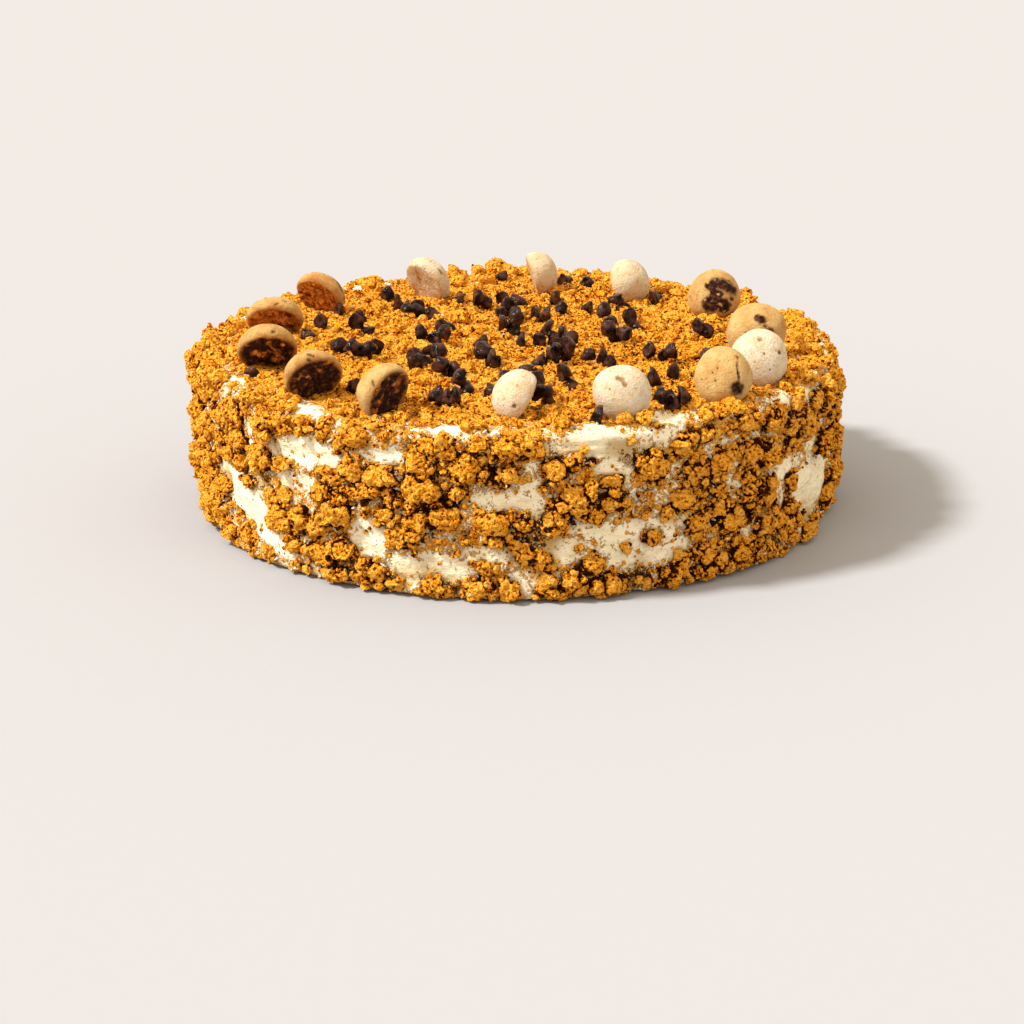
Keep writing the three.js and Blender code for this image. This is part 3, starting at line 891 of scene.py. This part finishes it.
# A few dozen faces each: uneven little stones, made once and used again and again
def crumbShapes(kind, count, seed):
    shapes = []
    for i in range(count):
        bm = bmesh.new()
        if kind != "crumb":
            bmesh.ops.create_icosphere(bm, subdivisions=1, radius=0.5)
        else:
            bmesh.ops.create_uvsphere(bm, u_segments=6, v_segments=4, radius=0.5)
        bmesh.ops.triangulate(bm, faces=bm.faces)
        bmesh.ops.recalc_face_normals(bm, faces=bm.faces)
        draw = drawsFrom(seed + 17 * i)
        stretch = Vector((0.8 + 0.4 * draw(), 0.8 + 0.4 * draw(), 0.75 + 0.35 * draw()))
        if kind == "shred":
            stretch *= Vector((1.7, 0.7, 0.4))
        for vert in bm.verts:
            vert.co = vert.co * stretch * (0.78 + 0.44 * draw())
        shapes.append((
            np.array([vert.co[:] for vert in bm.verts]),
            np.array([[vert.index for vert in face.verts] for face in bm.faces]),
        ))
        bm.free()
    return shapes


# Places on a surface, more of them where chance is high, with the way out of it
def placesOn(points, corners, chance, count):
    a, b, c = points[corners[:, 0]], points[corners[:, 1]], points[corners[:, 2]]
    normal = np.cross(b - a, c - a)
    doubled = np.linalg.norm(normal, axis=1)
    weight = doubled * np.maximum(0, chance[corners].mean(axis=1))
    chosen = rng.choice(len(corners), count, p=weight / weight.sum())
    u, v = rng.random(count), rng.random(count)
    over = u + v > 1
    u[over], v[over] = 1 - u[over], 1 - v[over]
    spots = a[chosen] + u[:, None] * (b - a)[chosen] + v[:, None] * (c - a)[chosen]
    return spots, normal[chosen] / doubled[chosen][:, None]


def anyTurns(count):
    q = rng.normal(size=(count, 4))
    q /= np.linalg.norm(q, axis=1)[:, None]
    w, x, y, z = q.T
    return np.stack((
        1 - 2 * (y * y + z * z), 2 * (x * y - z * w), 2 * (x * z + y * w),
        2 * (x * y + z * w), 1 - 2 * (x * x + z * z), 2 * (y * z - x * w),
        2 * (x * z - y * w), 2 * (y * z + x * w), 1 - 2 * (x * x + y * y),
    ), axis=1).reshape(count, 3, 3)


def clearOfCookies(spots, margin):
    keep = np.ones(len(spots), bool)
    for x, y, across, *_ in cookies:
        keep &= (np.hypot(spots[:, 0] - x, spots[:, 1] - y) > across / 2 + margin) | (spots[:, 2] < 50)
    return keep


# What is scattered: how many, and the smallest and largest across
scattered = {
    "topCrumbs": (2100, 1.6, 4.2), "sideCrumbs": (3200, 1.6, 4.4), "topGrains": (7200, 0.7, 1.8),
    "sideGrains": (8400, 0.7, 2.2), "lumpGrains": (6800, 0.7, 1.9), "creamShreds": (1600, 0.8, 2.6),
}
rng = np.random.default_rng(2024)


# More of them where chance is high; sink is the share of each that is below the surface
def scatterCrumbs(name, chance, shapes, sink, smear=0.0, surface=(shaped, bodyTriangles), smooth=False):
    count, smallest, largest = scattered[name]
    spots, outward = placesOn(*surface, chance, count)
    sizes = smallest + (largest - smallest) * rng.random(len(spots)) ** 2.2
    keep = clearOfCookies(spots, 0.5)
    spots, outward, sizes = spots[keep], outward[keep], sizes[keep]
    turns = anyTurns(len(spots))
    # Painted shade for each crumb, measured just outside its middle
    shut = hollowAt(spots + outward * sizes[:, None] * 0.7, outward)
    centres = spots + outward * (sizes * (0.5 - sink))[:, None]
    kinds = rng.integers(len(shapes), size=len(spots))
    onTopNow = outward[:, 2] > 0.6
    tone = np.clip(0.52 + rng.normal(0, 0.3, len(spots)) * np.where(onTopNow, 0.6, 1), 0, 1) - 0.09 * onTopNow
    tone += patches(spots)
    allPoints, allCorners, allTones, allShades = [], [], [], []
    start = 0
    for kind, (points, corners) in enumerate(shapes):
        mine = np.flatnonzero(kinds == kind)
        placed = np.einsum("kij,nj->kni", turns[mine], points) * sizes[mine][:, None, None]
        placed += centres[mine][:, None, :]
        placed[:, :, 2] = np.maximum(placed[:, :, 2], 0.02)
        allPoints.append(placed.reshape(-1, 3))
        steps = start + np.arange(len(mine)) * len(points)
        allCorners.append((corners[None] + steps[:, None, None]).reshape(-1, 3))
        allTones.append(np.repeat(tone[mine], len(points)))
        allShades.append(np.repeat(shut[mine], len(points)))
        start += len(mine) * len(points)
    crumbPiece(
        name, np.concatenate(allPoints), np.concatenate(allCorners), np.concatenate(allTones), smear, smooth,
        hollow=np.concatenate(allShades),
    )


crumbs = crumbShapes("crumb", 14, 21)
tinyGrains = crumbShapes("grain", 14, 87)
shreds = crumbShapes("shred", 14, 59)
onTop = (1 - upright) * (flat < 123)
onSide = upright * (heights > 0.6)
lumps = joined([sideLumpMesh, topLumpMesh])
scatterCrumbs("topCrumbs", onTop * crusted ** 2, crumbs, 0.35, smooth=True)
scatterCrumbs("sideCrumbs", onSide * np.clip(coat * 1.4 - 0.35, 0.02, 1), crumbs, 0.25)
scatterCrumbs("topGrains", onTop * (0.15 + crusted), tinyGrains, 0.35)
scatterCrumbs("sideGrains", onSide * (coat + 0.03), tinyGrains, 0.42)
scatterCrumbs("lumpGrains", np.ones(len(lumps[0])), tinyGrains, 0.4, surface=lumps[:2])
thinCoat = (coat > 0.4) * (coat < 0.95)
scatterCrumbs("creamShreds", (onSide + 0.5 * onTop * (flat > 95)) * thinCoat, shreds, 0.25, smear=1.0)
print("crumbs: scattered")


# The chocolate drops: a spun outline, its tip bent over, then squashed, dented and leaned
dropOutline = [
    (0, -0.31), (0.6, -0.325), (0.9, -0.33), (0.985, -0.295), (1.0, -0.21), (0.965, -0.09), (0.89, 0.04),
    (0.76, 0.16), (0.6, 0.28), (0.46, 0.39), (0.35, 0.49), (0.24, 0.58), (0.12, 0.64), (0, 0.66),
]


def spunShape(outline, sides):
    bm = bmesh.new()
    verts = [bm.verts.new((r, 0, h)) for r, h in outline]
    edges = [bm.edges.new(pair) for pair in zip(verts, verts[1:])]
    bmesh.ops.spin(
        bm, geom=verts + edges, cent=(0, 0, 0), axis=(0, 0, 1), dvec=(0, 0, 0), angle=2 * math.pi,
        steps=sides, use_merge=True,
    )
    bmesh.ops.remove_doubles(bm, verts=bm.verts, dist=1e-5)
    bmesh.ops.recalc_face_normals(bm, faces=bm.faces)
    return bm


def makeDrops():
    whole = bmesh.new()
    mesh = bpy.data.meshes.new("chocolateDrops")
    for index, (x, y, z, lean, turn, size) in enumerate(dropList):
        draw = drawsFrom(5000 + 13 * index)
        bm = spunShape([(r * drop["radius"], h * drop["height"]) for r, h in dropOutline], drop["sides"])
        tipBearing, tipReach = 6.28 * draw(), drop["tipReach"] * draw()
        squash, tall = 0.86 + 0.16 * draw(), 0.72 + 0.22 * draw()
        dentPlace = Vector((index * 1.7, 0, 0))
        for vert in bm.verts:
            curl = max(0, vert.co.z / drop["height"])
            tip = 2.2 * tipReach * curl ** 2.4
            vert.co.x += 2.6 * curl * curl * drop["radius"] / drop["height"] + tip * math.cos(tipBearing)
            vert.co.y += tip * math.sin(tipBearing)
            vert.co.z -= tipReach * curl ** 3
            vert.co *= Vector((1, squash, tall))
            vert.co *= 1 + drop["dentDepth"] * noise.noise(vert.co / drop["dentSize"] + dentPlace)
            px, py, pz = vert.co * size * drop["shown"]
            qx, qz = turned(px, pz, -lean)
            qx, qy = turned(qx, py, turn)
            vert.co = Vector((x + qx, y + qy, z - 0.25 + qz)) * mm
        bm.to_mesh(mesh)
        whole.from_mesh(mesh)
        bm.free()
    whole.to_mesh(mesh)
    whole.free()
    finishedPiece(mesh, {}, chocolateMaterial)
    print("drops:", len(mesh.polygons), "faces")


makeDrops()

# The cookies: a spun dome with an uneven surface, marked where the camera sees the marks
cookie = {"sides": 88, "rings": 54, "sink": 2.5}

# Marks on each cookie as the camera sees them: kind, then places right and up of its middle in
# millimetres, and half width
cookieMarks = {
    1: [("crack", [(6.1, 3.8), (8.0, 0.5), (9.3, -3.9)], 0.6), ("crack", [(-6.1, -2.3)], 1.6)],
    2: [("crack", [(-0.2, 4.2), (0.8, 4.6)], 0.45), ("crack", [(2.9, 5.8), (3.8, 5.2)], 0.45),
        ("crack", [(4.9, -0.8)], 2.1), ("crack", [(2.0, -5.0), (6.5, -5.4)], 1.3)],
    3: [("crack", [(1.8, 4.9), (2.8, 4.7)], 0.6)],
    4: [("crack", [(-1.2, 6.4), (0.6, 6.0)], 0.7), ("crack", [(-1.2, 4.6), (-0.2, 4.0)], 0.6)],
    5: [("crack", [(-2.9, 2.5), (-2.1, 0.9)], 0.45)],
    6: [("crack", [(1.3, -5.6)], 1.0), ("fleck", [(-2.6, -2.8)], 0.8), ("fleck", [(2.2, 2.5)], 0.7)],
    7: [("pit", [(-1.7, 5.9), (0.2, 5.2), (1.2, 3.3)], 1.0), ("fleck", [(3.2, -0.4)], 0.9),
        ("crack", [(0.7, -7.3)], 0.6), ("fleck", [(-3.2, -2.2)], 0.7), ("fleck", [(-1, 1)], 0.6)],
    8: [("crack", [(5.6, 7.4), (6.2, 3.0), (6.9, -1.5)], 0.5), ("chip", [(6.3, -4.3)], 3.2),
        ("crack", [(-1.9, 2.4)], 0.45), ("crack", [(-2.6, -2.6)], 0.5), ("crack", [(-7.6, -1.8)], 0.45),
        ("crack", [(-3.7, 0.7)], 0.4)],
    9: [("crack", [(8.1, 1.9)], 0.9), ("pit", [(0.5, 7.0)], 1.1), ("crack", [(2.6, 1.5)], 0.6),
        ("crack", [(4.5, -5.1)], 0.5), ("fleck", [(-3, 3)], 0.8), ("crack", [(-2, -2)], 0.4)],
    10: [("chip", [(1.2, 6.0), (2.8, 5.4)], 1.9), ("chip", [(5.6, 0.2), (7.4, -1.9)], 2.0),
         ("crack", [(4.0, 2.9)], 0.8), ("crack", [(-3.5, 0.5)], 0.4), ("crack", [(-1, -4)], 0.4)],
    11: [("blotch", [(-1.6, 3.8), (1.6, 5.2), (5.0, 4.4), (8.0, 2.4)], 3.0),
         ("blotch", [(-0.4, 1.6), (-0.6, -1.2)], 2.4), ("blotch", [(3.0, 0.4)], 1.6),
         ("blotch", [(7.4, -1.4)], 1.2), ("blotch", [(-2.2, -4.4), (1.4, -4.2), (4.4, -4.4)], 3.7)],
    12: [("fleck", [(-1, 2)], 0.7), ("fleck", [(2, -2)], 0.8)],
    13: [("fleck", [(1.5, 3)], 0.7), ("fleck", [(-2, -1)], 0.7)],
    14: [("fleck", [(-7.0, 3.4), (-5.6, -0.6), (-4.5, -5.3)], 0.7), ("fleck", [(-9.4, 1.2)], 0.8),
         ("fleck", [(-8.2, -1.6), (-7.0, -5.0)], 0.6),
         ("crack", [(-2.9, 3.4)], 0.4), ("crack", [(3.7, 3.8), (5.0, 1.3)], 0.5)],
}

# What a mark does: browner, darker, further out, rougher and in what size of grain
markKinds = {
    "fleck": (0.55, 0, 0, 0, 1), "pit": (0.9, 0.35, -0.5, 0, 1), "crack": (0, 0.92, -0.35, 0, 1),
    "chip": (0, 1, 0.06, 0.72, 1.7), "blotch": (0, 1, 0, 0.5, 1.9),
}

# How brown each cookie's crown is, how dark its underside, and how crumbly
cookieTone = {
    1: (0.62, 0.1, 1), 2: (0.45, 0.3, 1), 3: (0.42, 2.3, 1), 4: (0.45, 2.6, 1), 5: (0.28, 2.4, 1),
    6: (0.25, 2.0, 1), 7: (0.12, 0.5, 1), 8: (0.30, 0.5, 1), 9: (0.14, 0.5, 1), 10: (0.34, 0.5, 1),
    11: (0.4, 0.5, 1), 12: (0.3, 0.3, 0.6), 13: (0.3, 0.1, 0.2), 14: (0.22, 0.1, 0.15),
}
paleCookies = (6, 7, 9, 12, 13, 14)


# A smooth curve through the outline's points, in even steps
def smoothOutline(outline, count):
    points = np.array([outline[0], *outline, outline[-1]], float)
    curve = []
    for i in range(len(outline) - 1):
        a, b, c, d = points[i:i + 4]
        for t in np.arange(0, 1, 0.05):
            bend = (2 * a - 5 * b + 4 * c - d) * t * t + (3 * b - a - 3 * c + d) * t ** 3
            curve.append(0.5 * (2 * b + (c - a) * t + bend))
    curve = np.array([*curve, outline[-1]])
    length = np.concatenate(([0], np.cumsum(np.linalg.norm(np.diff(curve, axis=0), axis=1))))
    steps = np.linspace(0, length[-1], count)
    even = np.column_stack((np.interp(steps, length, curve[:, 0]), np.interp(steps, length, curve[:, 1])))
    even[0, 0] = even[-1, 0] = 0
    return even


def lineReach(spots, line):
    reach = np.full(len(spots), 1e9)
    for start, end in zip(line, line[1:] if len(line) > 1 else line):
        way = end - start
        share = np.clip(((spots - start) @ way) / max(1e-9, way @ way), 0, 1)
        reach = np.minimum(reach, np.linalg.norm(spots - start - share[:, None] * way, axis=1))
    return reach


# The nearest point of a cookie on the camera's line through a place beside its middle
def seenSpot(spots, middle, right, up):
    aim = middle + rightWay * right + upWay * up - cameraPlace
    aim /= np.linalg.norm(aim)
    along = (spots - cameraPlace) @ aim
    aside = np.linalg.norm(spots - cameraPlace - along[:, None] * aim, axis=1)
    near = np.flatnonzero(aside < max(0.6, aside.min() + 0.3))
    return spots[near[np.argmin(along[near])]]


def makeCookie(number, values):
    x, y, across, heading, elevation, depth = values
    radius, index = across / 2, number - 1
    tall = depth * radius
    outline = [(r * radius, h * tall) for r, h in smoothOutline(cookieOutline, cookie["rings"])]
    bm = spunShape([(max(0, r), h) for r, h in outline], cookie["sides"])
    points = np.array([vert.co[:] for vert in bm.verts])
    around = np.arctan2(points[:, 1], points[:, 0])
    lobe = 1 + 0.025 * np.sin(2 * around + index) + 0.02 * np.sin(3 * around + 2.3 * index)
    points[:, :2] *= lobe[:, None]
    share = points[:, 2] / tall
    reach = np.hypot(points[:, 0], points[:, 1]) / radius
    under = (1 - smoothStep(0.10, 0.26, share)) * (1 - smoothStep(0.84, 0.97, reach))
    lean = math.pi / 2 + elevation * degree
    bearing = (heading + 180) * degree
    lowest = min(h * tall * math.cos(lean) - r * radius * math.sin(lean) for r, h in cookieOutline)
    back = 0.5 * radius * math.sin(lean)
    lift = cake["height"] + 0.5 - cookie["sink"] - lowest
    outwardLocal = np.column_stack((points[:, 0], points[:, 1], (points[:, 2] - 0.3 * tall)))
    outwardLocal /= np.maximum(1e-6, np.linalg.norm(outwardLocal, axis=1))[:, None]
    dome = 0.3 * swells(points, 6, 40 + index) + 0.1 * swells(points, 2.2, 60 + index)
    broken = 2.2 * grains(points, 3.0, 80 + index) + 0.9 * grains(points, 1.4, 90 + index) - 0.6
    outwardLocal[:, 2] = np.where(under > 0.5, -1.0, outwardLocal[:, 2])
    points += outwardLocal * ((1 - under) * dome + under * broken * cookieTone[number][2])[:, None]

    def placed(spots):
        out, up = turned(spots[:, 0], spots[:, 2], -lean)
        across, along = turned(out - back, spots[:, 1], bearing)
        return np.column_stack((x + across, y + along, lift + up))

    spots = placed(points)
    middle = placed(np.array([[0, 0, tall / 2]]))[0]
    crown, underTone, crumbly = cookieTone[number]
    baked = crown + 0.2 * (1 - smoothStep(0.05, 0.4, share)) + 0.3 * swells(points, 5, 33 + index)
    dark = under * np.clip(underTone * (0.62 + 1.2 * swells(points, 3.2, 47 + index)), 0, 1)
    push = np.zeros(len(points))
    for kind, line, width in cookieMarks[number]:
        brown, darker, outer, rough, grain = markKinds[kind]
        anchors = [seenSpot(spots, middle, right, up) for right, up in line]
        away = lineReach(spots, anchors) + 0.35 * width * swells(points, 1.6, 71 + index)
        amount = 1 - smoothStep(0.55 * width, 1.15 * width, away)
        if kind == "blotch":
            amount *= smoothStep(-0.5, -0.34, swells(points, 1.5, 17 + index))
        baked += brown * amount
        dark = np.maximum(dark, darker * amount)
        push += outer * amount
        if rough:
            push += rough * amount * grains(points, grain, 55)
    points += outwardLocal * push[:, None]
    spots = placed(points)
    spots[:, 2] = np.maximum(spots[:, 2], cake["height"] - 3.6)
    for vert, spot in zip(bm.verts, spots * mm):
        vert.co = spot
    mesh = bpy.data.meshes.new(f"cookie{number:02d}")
    bm.to_mesh(mesh)
    bm.free()
    numbers = {"baked": np.clip(baked, 0, 1), "dark": dark, "broken": under * crumbly}
    if number in paleCookies:
        finishedPiece(mesh, numbers, paleCookieMaterial, f"cookie_{number:02d}")
    else:
        finishedPiece(mesh, numbers, tanCookieMaterial, f"cookie_{number:02d}")


for number, values in enumerate(cookies, 1):
    makeCookie(number, values)
print("cookies: made")

# The floor, in metres across, and the light
studio = {
    "floorRadius": 9.0, "floorColour": (0.348, 0.350, 0.370), "keyPower": 5.2, "keyAngle": 10,
    "keyBearing": -166, "keyHeight": 48, "keyColour": (1.0, 0.985, 0.96), "fill": 1.32,
    "fillColour": (1.0, 0.88, 0.71),
}


def makeFloor():
    material, tree, shader, place = newMaterial("studioFloor")
    colour = studio["floorColour"]
    shade = tuple(0.985 * part for part in colour)
    surfaceOf(tree, shader, mixColours(tree, noiseFac(tree, place, 6, 3), colour, shade), 0.95, 0.1)
    bm = bmesh.new()
    bmesh.ops.create_circle(bm, cap_ends=True, segments=96, radius=studio["floorRadius"])
    mesh = bpy.data.meshes.new("floor")
    bm.to_mesh(mesh)
    bm.free()
    mesh.materials.append(material)
    floor = objectOf("floor", mesh)
    floor.location.z = -0.0005


def makeLight():
    key = bpy.data.lights.new("keyLight", "SUN")
    key.energy = studio["keyPower"]
    key.angle = studio["keyAngle"] * degree
    key.color = studio["keyColour"]
    lamp = objectOf("keyLight", key)
    bearing, height = studio["keyBearing"] * degree, studio["keyHeight"] * degree
    way = Vector((*turned(math.cos(height), 0, bearing), math.sin(height)))
    lamp.rotation_euler = way.to_track_quat("Z", "Y").to_euler()
    lamp.location = way * 2
    world = bpy.data.worlds.new("studio")
    world.use_nodes = True
    background = world.node_tree.nodes["Background"]
    background.inputs["Color"].default_value = (*studio["fillColour"], 1)
    background.inputs["Strength"].default_value = studio["fill"]
    scene.world = world
    scene.view_settings.view_transform = "Standard"


def makeCamera():
    lens = bpy.data.cameras.new("camera")
    lens.lens = view["lens"]
    lens.sensor_width = view["sensor"]
    lens.clip_end = 60
    camera = objectOf("camera", lens)
    camera.location = Vector(view["place"]) * mm
    camera.rotation_euler = ((90 - view["down"]) * degree, 0, 0)
    scene.camera = camera


makeFloor()
makeLight()
makeCamera()

print("stage: ready")
